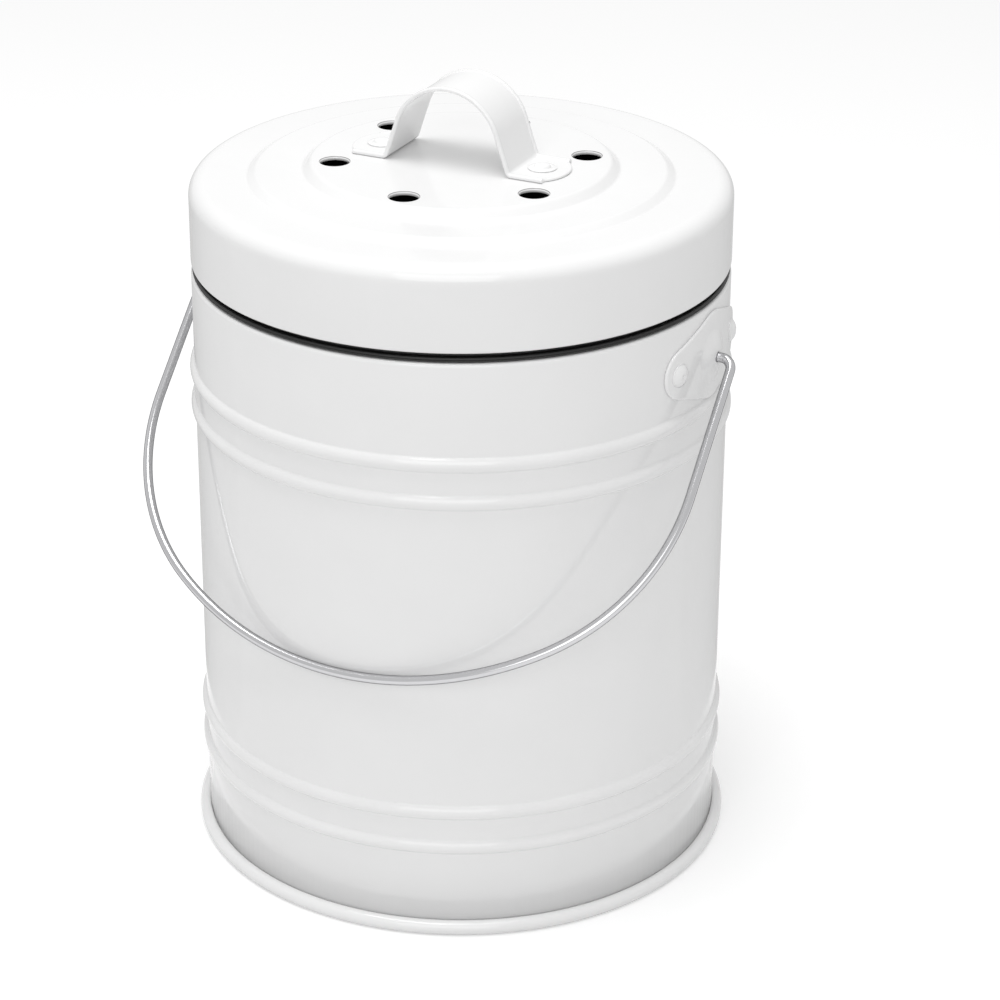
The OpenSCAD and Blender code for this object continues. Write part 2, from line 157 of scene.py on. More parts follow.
class CaddyHandle(bpy.types.PropertyGroup):
    """Sizes of the strap handle on the lid"""

    half: length("Half width", "Half the width of the strap", 12 * MM)
    sheet: length("Sheet", "Thickness of the strap", 1 * MM)
    arch: length("Arch radius", "Outer radius of the arch", 19.3 * MM)
    height: length("Height", "Height of the arch above the lid", 27.2 * MM)
    lean: bpy.props.FloatProperty(
        name="Lean", description="Lean of the legs", default=math.radians(18.7), subtype="ANGLE"
    )
    bend: length("Bend", "Radius inside the bend at the foot", 1.5 * MM)
    foot: length("Foot", "Distance from the middle to the foot's straight edge", 34.88 * MM)
    bulge: length("Bulge", "How far the foot's round end stands past that edge", 4.2 * MM)
    hem: length("Hem height", "Height of the hems along the strap", 0.5 * MM)
    hem_width: length("Hem width", "Width of each hem", 1.6 * MM)
    notch: length("Notch", "How much narrower the foot's end is on each side", 2 * MM)
    rivet_x: length("Rivet distance", "Distance from the middle to each rivet", 29.68 * MM)
    head_r: length("Rivet head radius", "Radius of a handle rivet's head", 4.9 * MM)
    head_h: length("Rivet head height", "Height of a handle rivet's head", 1.5 * MM)


class CaddyFinish(bpy.types.PropertyGroup):
    """Colours of the finishes"""

    enamel: tint("Enamel", "White enamel", "#EFEFEF")
    steel: tint("Steel", "Drawn bare wire", "#CBCBCD")
    rubber: tint("Rubber", "Seal", "#0D0D0D")
    plastic: tint("Plastic", "Filter tray", "#1B1C1D")
    felt: tint("Felt", "Charcoal felt", "#202122")


class CaddyStudio(bpy.types.PropertyGroup):
    """The floor, lamps and camera"""

    turn: bpy.props.FloatProperty(
        name="Turn", description="Camera's angle round the caddy", default=math.radians(26), subtype="ANGLE"
    )
    pitch: bpy.props.FloatProperty(
        name="Pitch", description="Camera's angle below level", default=math.radians(24.961), subtype="ANGLE"
    )
    away: length("Distance", "Level distance from the caddy's axis to the camera", 1.01301)
    height: length("Camera height", "Height of the camera", 0.59059)
    lens: bpy.props.FloatProperty(name="Lens", description="Focal length in mm", default=115.14)
    shift: bpy.props.FloatProperty(name="Shift", description="Sideways shift of the frame", default=0.03876)


# Surfaces


def fillets(corners, radii, closed=True, steps=7):
    """Rounds a polyline's corners.

    With u and v the unit vectors from a corner to its neighbours and q half the angle between them, the arc
    has its centre r / sin q along u + v, and meets the sides r / tan q from the corner. One more point a
    third of the radius along each side keeps the flats flat where the surface is shaded smooth.
    """
    corners = np.asarray(corners, float)
    radii = np.broadcast_to(np.asarray(radii, float), (len(corners),))
    before = np.roll(corners, 1, 0) - corners
    after = np.roll(corners, -1, 0) - corners
    if not closed:
        before, after, radii = before[1:-1], after[1:-1], radii[1:-1]
    inner = corners if closed else corners[1:-1]
    u = before / np.linalg.norm(before, axis=1, keepdims=True)
    v = after / np.linalg.norm(after, axis=1, keepdims=True)
    half = np.arccos(np.clip((u * v).sum(1), -1, 1)) / 2
    centre = inner + (u + v) / np.linalg.norm(u + v, axis=1, keepdims=True) * (radii / np.sin(half))[:, None]
    start = inner + u * (radii / np.tan(half))[:, None]
    end = inner + v * (radii / np.tan(half))[:, None]
    first = np.arctan2(*(start - centre).T[::-1])
    last = np.arctan2(*(end - centre).T[::-1])
    sweep = (last - first + math.pi) % TURN - math.pi
    angle = first[:, None] + sweep[:, None] * np.linspace(0, 1, steps + 1)
    curve = centre[:, None] + radii[:, None, None] * np.stack([np.cos(angle), np.sin(angle)], -1)
    guard = (radii / 3)[:, None]
    rows = [(start + u * guard)[:, None], curve, (end + v * guard)[:, None]]
    rounded = np.concatenate(rows, 1).reshape(-1, 2)
    return rounded if closed else np.vstack([corners[:1], rounded, corners[-1:]])


def arc(centre, radius, first, last, steps):
    """Points on a circle between two angles in degrees."""
    angle = np.radians(np.linspace(first, last, steps))
    return np.stack([centre[0] + radius * np.cos(angle), centre[1] + radius * np.sin(angle)], -1)


def lathe(profile, segments=SEGMENTS):
    """Turns a profile of (radius, height) round Z: at an angle a a point lies at (r cos a, r sin a, z)."""
    a = np.arange(segments)[:, None] * TURN / segments
    r, z = np.asarray(profile).T
    return np.stack([r * np.cos(a), r * np.sin(a), z + 0 * a], -1)


def quads(shape, wrap_rows, wrap_columns):
    """Corner numbers of the quads of a grid: each joins a point to the next in its row and in its column."""
    rows, columns = shape
    i = np.arange(rows if wrap_rows else rows - 1)[:, None]
    j = np.arange(columns if wrap_columns else columns - 1)[None]
    below, right = (i + 1) % rows, (j + 1) % columns
    return np.stack(
        [i * columns + j, i * columns + right, below * columns + right, below * columns + j], -1
    ).reshape(-1, 4)


def unrolled(travel, columns):
    """Map of a tube's quads: u is the share of the way round it, v the distance along it in centimetres."""
    round_ = (np.arange(columns)[:, None] + [0, 1, 1, 0]) / columns
    along = np.stack([travel[:-1], travel[:-1], travel[1:], travel[1:]], -1) / MM / 10
    shape = (len(travel) - 1, columns, 4)
    both = [np.broadcast_to(round_, shape), np.broadcast_to(along[:, None], shape)]
    return np.stack(both, -1).reshape(-1, 2)


def piece(name, grids, material, body, nodes, maps=None, grey_edge=None):
    """Makes one mesh of grids of points, each (points, rows closed, columns closed), and puts it on its body.

    Where maps are given, there is one for each grid, with two numbers for each corner of its quads. Where
    grey_edge is given, it says for each point of each grid how far its colour is mixed towards grey, from 0
    to 1.
    """
    points, faces, first = [], [], 0
    for grid, wrap_rows, wrap_columns in grids:
        points.append(grid.reshape(-1, 3))
        faces.append(quads(grid.shape[:2], wrap_rows, wrap_columns) + first)
        first += len(points[-1])
    mesh = bpy.data.meshes.new(name)
    mesh.from_pydata(np.concatenate(points), [], np.concatenate(faces).tolist())
    if maps:
        mesh.uv_layers.new(name="along").data.foreach_set("uv", np.concatenate(maps).ravel())
    if grey_edge:
        mesh.attributes.new("grey_edge", "FLOAT", "POINT").data.foreach_set("value", np.concatenate(grey_edge))
    shape = bmesh.new()
    shape.from_mesh(mesh)
    bmesh.ops.remove_doubles(shape, verts=shape.verts, dist=1e-3 * MM)
    bmesh.ops.recalc_face_normals(shape, faces=shape.faces)
    shape.to_mesh(mesh)
    shape.free()
    mesh.shade_smooth()
    mesh.materials.append(material)
    made = bpy.data.objects.new(name, mesh)
    bpy.context.scene.collection.objects.link(made)
    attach(made, body)
    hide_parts(*nodes)
    return made


# Materials


def node(tree, kind, values=None, links=None, **settings):
    """Adds a node, with its settings, its sockets' values and the outputs linked to its sockets."""
    made = tree.nodes.new(kind)
    for name, value in settings.items():
        setattr(made, name, value)
    for socket, value in (values or {}).items():
        made.inputs[socket].default_value = value
    for socket, output in (links or {}).items():
        tree.links.new(output, made.inputs[socket])
    return made


# Between these lie most of a noise texture's values
NOISE = {"From Min": 0.3, "From Max": 0.7}


def blank(name):
    """A new material's tree with only its output."""
    material = bpy.data.materials.new(name)
    material.use_nodes = True
    material.node_tree.nodes.clear()
    return material, material.node_tree


def fired_enamel(colour):
    """Enamel sprayed on steel and fired: a glassy coat whose surface ripples a few microns over a few mm.

    Where a piece's grey_edge attribute is above 0, its colour is mixed that far towards a grey.
    """
    material, tree = blank("Fired enamel")
    at = node(tree, "ShaderNodeTexCoord").outputs["Object"]
    ripple = node(tree, "ShaderNodeTexNoise", {"Scale": 320.0, "Detail": 2.0}, {"Vector": at})
    sag = node(tree, "ShaderNodeTexNoise", {"Scale": 22.0, "Detail": 1.0}, {"Vector": at})
    haze = node(tree, "ShaderNodeTexNoise", {"Scale": 45.0, "Detail": 3.0}, {"Vector": at})
    rough = node(
        tree,
        "ShaderNodeMapRange",
        {**NOISE, "To Min": 0.05, "To Max": 0.09},
        {"Value": haze.outputs["Fac"]},
    )
    tone = node(
        tree,
        "ShaderNodeMapRange",
        {**NOISE, "To Min": 0.985, "To Max": 1.0},
        {"Value": haze.outputs["Fac"]},
    )
    paint = node(
        tree,
        "ShaderNodeMix",
        {6: colour, "Factor": 1.0},
        {7: tone.outputs["Result"]},
        data_type="RGBA",
        blend_type="MULTIPLY",
    )
    # Mixes the colour towards grey where the point attribute says so: a grey line along the outer half of
    # each vent's lip
    grey_edge = node(tree, "ShaderNodeAttribute", attribute_name="grey_edge").outputs["Fac"]
    greyed = node(
        tree,
        "ShaderNodeMix",
        {7: linear("#8E8E8E")},
        {"Factor": grey_edge, 6: paint.outputs[2]},
        data_type="RGBA",
    )
    wave = node(
        tree, "ShaderNodeBump", {"Strength": 0.35, "Distance": 0.08 * MM}, {"Height": sag.outputs["Fac"]}
    )
    skin = node(
        tree,
        "ShaderNodeBump",
        {"Strength": 0.25, "Distance": 0.004 * MM},
        {"Height": ripple.outputs["Fac"], "Normal": wave.outputs["Normal"]},
    )
    shader = node(
        tree,
        "ShaderNodeBsdfPrincipled",
        {"IOR": 1.52},
        {
            "Base Color": greyed.outputs[2],
            "Roughness": rough.outputs["Result"],
            "Normal": skin.outputs["Normal"],
        },
    )
    node(tree, "ShaderNodeOutputMaterial", links={"Surface": shader.outputs[0]})
    return material


def drawn_wire(colour):
    """Stainless wire pulled through a die: bright, with fine lines along its length.

    The edge tint is far darker than a measured steel's. It is matched, so that the wire keeps dark
    edges in a white studio.
    """
    material, tree = blank("Drawn stainless wire")
    at = node(tree, "ShaderNodeUVMap", uv_map="along").outputs["UV"]
    stretch = node(tree, "ShaderNodeMapping", {"Scale": (60.0, 1.5, 1.0)}, {"Vector": at})
    lines = node(
        tree, "ShaderNodeTexNoise", {"Scale": 1.0, "Detail": 3.0}, {"Vector": stretch.outputs["Vector"]}
    )
    rough = node(
        tree,
        "ShaderNodeMapRange",
        {**NOISE, "To Min": 0.1, "To Max": 0.18},
        {"Value": lines.outputs["Fac"]},
    )
    groove = node(
        tree, "ShaderNodeBump", {"Strength": 0.2, "Distance": 0.01 * MM}, {"Height": lines.outputs["Fac"]}
    )
    shader = node(
        tree,
        "ShaderNodeBsdfPrincipled",
        {"Base Color": colour, "Metallic": 1.0, "Specular Tint": linear("#1C1C1E")},
        {"Roughness": rough.outputs["Result"], "Normal": groove.outputs["Normal"]},
    )
    node(tree, "ShaderNodeOutputMaterial", links={"Surface": shader.outputs[0]})
    return material


def grained(name, colour, grain_mm, depth_mm, rough_from, rough_to):
    """A dull material with a fine grain of a given size, for moulded rubber and plastic and for felt."""
    material, tree = blank(name)
    at = node(tree, "ShaderNodeTexCoord").outputs["Object"]
    grain = node(
        tree, "ShaderNodeTexNoise", {"Scale": 1 / (grain_mm * MM), "Detail": 3.0}, {"Vector": at}
    )
    rough = node(
        tree,
        "ShaderNodeMapRange",
        {**NOISE, "To Min": rough_from, "To Max": rough_to},
        {"Value": grain.outputs["Fac"]},
    )
    bump = node(
        tree, "ShaderNodeBump", {"Strength": 0.6, "Distance": depth_mm * MM}, {"Height": grain.outputs["Fac"]}
    )
    shader = node(
        tree,
        "ShaderNodeBsdfPrincipled",
        {"Base Color": colour, "IOR": 1.5},
        {"Roughness": rough.outputs["Result"], "Normal": bump.outputs["Normal"]},
    )
    node(tree, "ShaderNodeOutputMaterial", links={"Surface": shader.outputs[0]})
    return material


# Pieces


def enamelled(name, grids, body, nodes, grey_edge=None):
    """Makes a piece in the one enamel that every painted piece shares."""
    ready = bpy.data.materials.get("Fired enamel")
    coat = ready or fired_enamel(bpy.context.scene.caddy_finish.enamel)
    return piece(name, grids, coat, body, nodes, grey_edge=grey_edge)


def bead_height(offset, p):
    """Height of a bead over the wall, for the distance from its middle: a circular arc that two hollows of
    the root radius join to the wall."""
    out, half, root = p.bead_out, p.bead_half, p.bead_root
    big = (out * out + half * half) / (2 * out)
    foot = math.sqrt((big + root) ** 2 - (big + root - out) ** 2)
    join = foot * big / (big + root)
    d = np.abs(offset)
    crown = np.sqrt(np.maximum(big**2 - d**2, 0)) - big + out
    hollow = root - np.sqrt(np.maximum(root**2 - (foot - d) ** 2, 0))
    return np.where(d < join, crown, np.where(d < foot, hollow, 0.0))


class CADDY_OT_pail(bpy.types.Operator):
    """Adds the pail: its beaded wall, rolled rim, bottom plate and foot ring"""

    bl_idname = "caddy.pail"
    bl_label = "Pail"

    def execute(self, context):
        p = context.scene.caddy_pail
        beads = np.array([p.bead_low, p.bead_low + p.bead_pitch, p.bead_high - p.bead_pitch, p.bead_high])
        near = np.linspace(-1.25, 1.25, 41) * p.bead_half
        top = RIM - p.curl
        plain = [p.low + 0.3 * MM, 60 * MM, 100 * MM, 140 * MM]
        heights = np.sort(np.concatenate([plain, (beads[:, None] + near).ravel(), [top]]))
        relief = bead_height(heights[:, None] - beads, p).sum(1)
        outer = np.stack([p.radius + relief, heights], -1)
        meet = math.degrees(math.acos((p.curl - p.wall) / p.curl))
        curl = arc((p.radius - p.curl, top), p.curl, 0, 360 - meet, 30)[1:]
        inside = np.stack([p.radius - p.wall + relief, heights], -1)[::-1]
        inside = inside[inside[:, 1] < curl[-1, 1] - 0.05 * MM]
        wall = np.vstack([outer, curl, inside])
        enamelled("pail_wall", [(lathe(wall), True, True)], "pail", ["body_shell"])

        edge, sheet = p.radius - p.wall - SEAT, p.wall
        pan = [
            (0, p.pan + sheet),
            (edge, p.pan + sheet),
            (edge, p.low),
            (edge - sheet, p.low),
            (edge - sheet, p.pan),
            (0, p.pan),
        ]
        rounding = np.array([0, 1.6, 0.2, 0.2, 0.8, 0]) * MM
        bottom = lathe(fillets(pan, rounding, closed=False))
        enamelled("pail_bottom", [(bottom, True, False)], "pail", ["base_pan"])

        centre = (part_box("foot_ring")[1].x - p.foot_roll, p.foot_roll - p.foot_flat)
        back = p.radius + SEAT
        up = math.degrees(math.acos((back - centre[0]) / p.foot_roll))
        flat = math.degrees(math.acos(centre[1] / p.foot_roll))
        roll = arc(centre, p.foot_roll, flat - 90, up, 40)
        ring = np.vstack([roll, [(back, roll[-1, 1] - 0.3 * MM), (back, 0.3 * MM), (back + 0.3 * MM, 0)]])
        enamelled("foot_roll", [(lathe(ring), True, True)], "pail", ["foot_ring"])
        return {"FINISHED"}


def ear_points(p, side):
    """Grid of one ear: rows go round the pivot, columns run from the hole outwards over the face and back.

    A point y across the wall and h over it lies at x = sqrt((wall radius + h)^2 - y^2).

    The outline is the hull of three circles. Its distance from the pivot in a direction is the least, over
    all slopes, of the hull's reach on that slope divided by the cosine between the two. A point's height over
    the wall is the plate, rounded by the depth inside the outline, plus the pocket's cap.
    """
    bail = bpy.context.scene.caddy_bail
    ear_z = RIM - p.drop
    rise = ear_z - bail.pivot
    slopes = np.arange(720) * TURN / 720
    normal = np.stack([np.cos(slopes), np.sin(slopes)])
    middles = np.array([(0, rise), (p.end_y, rise), (-p.end_y, rise)])
    reach = (middles @ normal + np.array([p.mid, p.end, p.end])[:, None]).max(0)
    turns = np.arange(240) * TURN / 240
    facing = np.cos(turns[:, None] - slopes)
    rim = np.where(facing > 0.05, reach / np.maximum(facing, 0.05), 1.0).min(1)
    hole = bail.wire + 0.08 * MM
    share = np.concatenate([np.linspace(0, 0.9, 40), 1 - 0.1 * np.cos(np.linspace(0.1, math.pi / 2, 24))])
    across = hole + (rim[:, None] - hole) * share
    y, z = across * np.cos(turns)[:, None], across * np.sin(turns)[:, None]
    inside = np.min(reach - (y[..., None] * normal[0] + z[..., None] * normal[1]), -1)
    corner = p.plate / 2
    edge = np.clip(corner - inside, 0, corner)
    soft = corner - np.sqrt(np.maximum(corner**2 - edge**2, 0))
    far = np.hypot(y, z) / p.dome_r
    cap = p.dome_out * np.where(far < 1, (1 - far**2) ** 2 * (1 + 0.55 * far**2), 0)
    lip = 0.25 * MM * np.exp(-(((across - hole) / (0.3 * MM)) ** 2))
    face = SEAT + p.plate - soft + cap - lip
    back = SEAT + soft + cap
    wall = bpy.context.scene.caddy_pail.radius

    def on_wall(height):
        """The grid's points at a height over the wall."""
        return np.stack([side * np.sqrt((wall + height) ** 2 - y**2), y, z + bail.pivot], -1)

    return np.concatenate([on_wall(face), on_wall(back)[:, ::-1]], 1)


def head_grid(profile, segments, frame_axes, at):
    """A turned shape on an axis: each profile point (r, h) goes to at + r cos a u + r sin a v + h w."""
    a = np.arange(segments)[:, None, None] * TURN / segments
    u, v, w = frame_axes
    r, h = profile[None, :, :1], profile[None, :, 1:]
    return at + r * np.cos(a) * u + r * np.sin(a) * v + h * w


def rivet_profile(head_r, head_h, dimple_r, dimple_depth, below):
    """Half section of a rivet from the middle of its head to its tail: a cap with a small dimple and a
    rounded edge, over the shank."""
    r = np.linspace(0, head_r, 40)
    ball = (head_r**2 + head_h**2) / (2 * head_h)
    cap = head_h - ball + np.sqrt(ball**2 - r**2)
    dent = dimple_depth * np.exp(-((r / dimple_r) ** 2))
    edge = np.clip((r - head_r + 0.35 * MM) / (0.35 * MM), 0, 1)
    top = np.stack([r, cap - dent], -1)[edge < 1]
    rim = arc((head_r - 0.2 * MM, 0.15 * MM), 0.2 * MM, 50, 0, 5)
    root = [(head_r, -0.25 * MM), (2.0 * MM, -0.25 * MM)]
    tail = np.array([(2.0, 0.0), (3.0, -0.2), (2.8, -0.8), (0, -1.1)]) * MM - [0, below]
    return np.vstack([top, rim, root, tail])


class CADDY_OT_ears(bpy.types.Operator):
    """Adds the two ears that the bail hooks into, each with a domed pocket and two rivets"""

    bl_idname = "caddy.ears"
    bl_label = "Ears"

    def execute(self, context):
        p = context.scene.caddy_ears
        wall = context.scene.caddy_pail.radius
        for name, side in (("right", 1), ("left", -1)):
            grid = ear_points(p, side)
            enamelled(f"ear_plate_{name}", [(grid, True, True)], "pail", [f"ear_{name}"])
            for place, end in (("front", -1), ("back", 1)):
                turn = end * math.asin(p.rivet_y / wall)
                out = np.array([side * math.cos(turn), math.sin(turn), 0])
                along = np.array([-side * math.sin(turn), math.cos(turn), 0])
                at = out * (wall + p.plate + 2 * SEAT) + np.array([0, 0, RIM - p.drop])
                sheets = p.plate + context.scene.caddy_pail.wall
                head = rivet_profile(p.head_r, p.head_h, p.dimple_r, p.dimple_deep, sheets)
                grid = head_grid(head, 64, (along, np.array([0, 0, 1.0]), out), at)
                grids = [(grid, True, False)]
                enamelled(f"ear_rivet_head_{name}_{place}", grids, "pail", [f"ear_rivet_{name}_{place}"])
        return {"FINISHED"}


def bail_path(p, start):
    """Middle of the wire from the head in one ear, over the leg and arcs, to the middle of the bow.

    The path lies in one plane, x across and y up from the pivot. Its pieces are a stub along x, a quarter
    bend, a straight leg, a shoulder arc about (s, -leg) and the bow about (0, -d), with s and d such that
    the arcs run smoothly into one another.
    """
    inward = p.half - p.shoulder
    drop = p.leg - math.sqrt((p.bow - p.shoulder) ** 2 - inward**2)
    meet = math.degrees(math.atan2(p.leg - drop, inward))
    stub = np.stack([np.linspace(start, p.half - p.hook, 8), np.zeros(8)], -1)
    bend = arc((p.half - p.hook, -p.hook), p.hook, 90, 0, 17)[1:]
    leg = np.stack([np.full(15, p.half), np.linspace(-p.hook, -p.leg, 15)], -1)[1:]
    shoulder = arc((inward, -p.leg), p.shoulder, 0, -meet, 60)[1:]
    bow = arc((0, -drop), p.bow, -meet, -90, 40)[1:]
    return np.vstack([stub, bend, leg, shoulder, bow])


class CADDY_OT_bail(bpy.types.Operator):
    """Adds the wire bail: a round section carried along the bent path, with a flat head in each ear"""

    bl_idname = "caddy.bail"
    bl_label = "Bail"

    def execute(self, context):
        p = context.scene.caddy_bail
        pail = context.scene.caddy_pail
        start = pail.radius + 0.35 * MM
        half = bail_path(p, start)
        flat = np.vstack([half, (half * [-1, 1])[-2::-1]])
        reach = float(-flat[:, 1].min())
        lean = math.asin((pail.radius + p.wire + p.gap) / reach)
        path = np.stack([flat[:, 0], flat[:, 1] * math.sin(lean), flat[:, 1] * math.cos(lean)], -1)
        side = np.array([0.0, -math.cos(lean), math.sin(lean)])
        along = np.gradient(path, axis=0)
        along /= np.linalg.norm(along, axis=1, keepdims=True)
        up = np.cross(side, along)
        a = np.arange(32) * TURN / 32
        ring = up[:, None] * np.cos(a)[None, :, None] + side * np.sin(a)[None, :, None]
        centre = path + [0, 0, p.pivot]
        tube = centre[:, None] + p.wire * ring
        travel = np.concatenate([[0], np.cumsum(np.linalg.norm(np.diff(path, axis=0), axis=1))])
        # Half section of the flat head that keeps each end in its ear: radius, and distance outwards
        ends = np.array([(0.0, 0.0), (2.3, 0.0), (2.5, 0.2), (2.5, 0.7), (2.3, 0.9), (1.6, 0.9)]) * MM
        around = np.stack([0 * a, np.cos(a), np.sin(a)], -1)
        heads = [
            np.array([s * start, 0, p.pivot]) + ends[:, None, 1:] * [s, 0, 0] + ends[:, None, :1] * around
            for s in (1, -1)
        ]
        head_map = unrolled(np.arange(len(ends)) * MM, len(a))
        piece(
            "bail",
            [(tube, False, True), (heads[0], False, True), (heads[1], False, True)],
            drawn_wire(context.scene.caddy_finish.steel),
            "bail",
            ["bail_wire"],
            [unrolled(travel, len(a)), head_map, head_map],
        )
        return {"FINISHED"}


def vent_sector(p, level, under, inner, outer):
    """One sixth of the lid's flat middle, with its vent hole: rows run round the hole.

    Each row is a line in the sheet's section from a point on the sector's border, which is two arcs and two
    radii: along the underside to the hole, down and round its turned edge, up the hole's wall, over the
    rounded lip and back along the face. It returns the points, and 1 where the colour is mixed towards grey,
    else 0.
    """
    arc_n, side_n = SEGMENTS // 6, 12
    spread = np.radians(np.linspace(-30, 30, arc_n + 1))
    across = np.linspace(inner, outer, side_n + 1)
    border = np.vstack(
        [
            np.stack([outer * np.cos(spread), outer * np.sin(spread)], -1)[:-1],
            (across[:, None] * [math.cos(math.radians(30)), math.sin(math.radians(30))])[::-1][:-1],
            np.stack([inner * np.cos(spread), inner * np.sin(spread)], -1)[::-1][:-1],
            (across[:, None] * [math.cos(math.radians(30)), -math.sin(math.radians(30))])[:-1],
        ]
    )
    middle = np.array([p.vent_circle, 0])
    ray = border - middle
    ray = ray / np.linalg.norm(ray, axis=1, keepdims=True)
    lip = p.vent_lip
    low = level - p.vent_deep
    inward = [
        (0.7 * MM, under - 0.05 * MM),
        (0.6 * MM, under - 0.2 * MM),
        (0.6 * MM, low + 0.2 * MM),
        (0.4 * MM, low),
        (0.2 * MM, low),
        (0, low + 0.2 * MM),
    ]
    grown = np.array([0, 0.05, 0.2, 0.4, 0.6, 0.75, 0.87, 1]) * lip
    fallen = np.array([1.4, 1.15, 0.87, 0.6, 0.34, 0.17, 0.06, 0]) * lip
    shares = (0.0, 0.15, 0.4, 0.7, 1.0)
    hole = middle + ray * (p.vent_r + 0.8 * MM)
    spread_out = [hole + (border - hole) * share for share in shares]
    lines = spread_out[::-1] + [middle + ray * (p.vent_r + g) for g, _ in inward]
    heights = [under] * len(shares) + [z for _, z in inward]
    lines += [middle + ray * (p.vent_r + g) for g in grown] + spread_out
    heights += list(level - fallen) + [level] * len(shares)
    flat = np.stack(lines, 1)
    up = np.broadcast_to(np.array(heights)[None, :, None], flat.shape[:2] + (1,))
    # The colour is mixed towards grey on the lip's outer half, which is rows 4 to 6 of the lip
    edge = np.zeros(flat.shape[:2])
    lip_row = len(shares) + len(inward)
    edge[:, lip_row + 4 : lip_row + 7] = 1
    return np.concatenate([flat, up], -1), edge


class CADDY_OT_lid(bpy.types.Operator):
    """Adds the stepped lid with its six vent holes and hemmed skirt"""

    bl_idname = "caddy.lid"
    bl_label = "Lid"

    def execute(self, context):
        p = context.scene.caddy_lid
        r = context.scene.caddy_pail.radius
        edge = LID_TOP - p.rise_out - p.rise_in
        # The flat band that the six vents stand in
        inner, outer = p.vent_circle - 7.6 * MM, p.vent_circle + 6.2 * MM
        t = p.sheet
        half = p.slope / 2
        face = [
            (outer, LID_TOP),
            (p.step_in - half, LID_TOP),
            (p.step_in + half, LID_TOP - p.rise_in),
            (p.step_out - half, edge + p.rise_out),
            (p.step_out + half, edge),
            (r, edge),
            (r, LID_LOW + p.hem),
        ]
        rounding = np.array([0, 2.2, 1.6, 2.2, 1.6, p.corner / MM, 0]) * MM
        outside = fillets(face, rounding, closed=False, steps=12)
        meet = math.degrees(math.acos((p.hem - t) / p.hem))
        hem = arc((r - p.hem, LID_LOW + p.hem), p.hem, 0, -360 + meet, 24)[1:]
        back = [
            (r - t, hem[-1, 1] + 0.05 * MM),
            (r - t, edge - t),
            (p.step_out + half, edge - t),
            (p.step_out - half, edge + p.rise_out - t),
            (p.step_in + half, edge + p.rise_out - t),
            (p.step_in - half, LID_TOP - t),
            (outer, LID_TOP - t),
        ]
        rounding = np.array([0, (p.corner - t) / MM, 2.4, 1.4, 2.4, 1.4, 0]) * MM
        within = fillets(back, rounding, closed=False, steps=12)
        shell = lathe(np.vstack([outside, hem, within]))
        sector, vent_grey_edge = vent_sector(p, LID_TOP, LID_TOP - t, inner, outer)
        grids = [(shell, True, False)]
        for k in range(6):
            a = math.radians(30 + 60 * k)
            spin = np.array([[math.cos(a), math.sin(a), 0], [-math.sin(a), math.cos(a), 0], [0, 0, 1]])
            grids.append((sector @ spin, True, False))
        middle = np.linspace(0, inner, 8)
        grids.append((lathe(np.stack([middle, np.full(8, LID_TOP)], -1)), True, False))
        grids.append((lathe(np.stack([middle, np.full(8, LID_TOP - t)], -1)), True, False))
        # Only the six vent sectors get grey mixed into their colour, along the outer half of each lip
        grey_edge = [np.zeros(grid.shape[:2]) for grid, _, _ in grids]
        grey_edge[1:7] = [vent_grey_edge] * 6
        grey_edge = [part.ravel() for part in grey_edge]
        enamelled("lid", grids, "lid", ["lid_shell", "lid_centre"], grey_edge=grey_edge)
        return {"FINISHED"}


class CADDY_OT_seal(bpy.types.Operator):
    """Adds the collar under the lid and the rubber seal round it"""

    bl_idname = "caddy.seal"
    bl_label = "Collar and seal"

    def execute(self, context):
        low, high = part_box("lid_collar")
        # Outer radius of the collar, its sheet, and the height of the bead that holds the seal
        out, t, bead = 86.2 * MM, 0.8 * MM, 214.4 * MM
        collar = [
            (out, low.z + 0.8 * MM),
            (out, bead - 1.9 * MM),
            (high.x, bead - 0.6 * MM),
            (high.x, bead + 0.6 * MM),
            (out, bead + 1.9 * MM),
            (out, high.z),
            (out - 5 * MM, high.z),
            (out - 5 * MM, high.z - t),
            (out - t, high.z - t),
            (out - t, bead + 1.7 * MM),
            (high.x - t, bead + 0.4 * MM),
            (high.x - t, bead - 0.4 * MM),
            (out - t, bead - 1.7 * MM),
            (out - t, low.z + 0.8 * MM),
        ]
        rounding = np.array([0, 0.8, 0.7, 0.7, 0.8, 1.0, 0.3, 0.3, 0.3, 0.8, 0.3, 0.3, 0.8, 0]) * MM
        sheet = fillets(collar, rounding, closed=False)
        hem = arc((out, low.z + 0.8 * MM), 0.8 * MM, 180, 450, 18)[1:]
        ring = np.vstack([sheet, hem])
        enamelled("lid_collar_ring", [(lathe(ring), True, True)], "lid", ["lid_collar"])

        low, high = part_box("seal_ring")
        # The seal is a sleeve on the collar with a lip that lies over the pail's rim
        inner, lip, lip_t, top_r = out + SEAT, RIM + 0.3 * MM, 1.6 * MM, 88.5 * MM
        section = [
            (inner, low.z),
            (inner + 1.1 * MM, low.z),
            (inner + 1.1 * MM, lip),
            (high.x, lip),
            (high.x, lip + lip_t),
            (top_r, lip + lip_t),
            (top_r, high.z),
            (inner, high.z),
        ]
        seal = fillets(section, np.array([0.4, 0.4, 0.4, 0.7, 0.7, 0.4, 0.4, 0.4]) * MM)
        rubber = grained("Moulded rubber", context.scene.caddy_finish.rubber, 0.6, 0.01, 0.42, 0.55)
        piece("seal", [(lathe(seal), True, True)], rubber, "lid", ["seal_ring"])
        return {"FINISHED"}


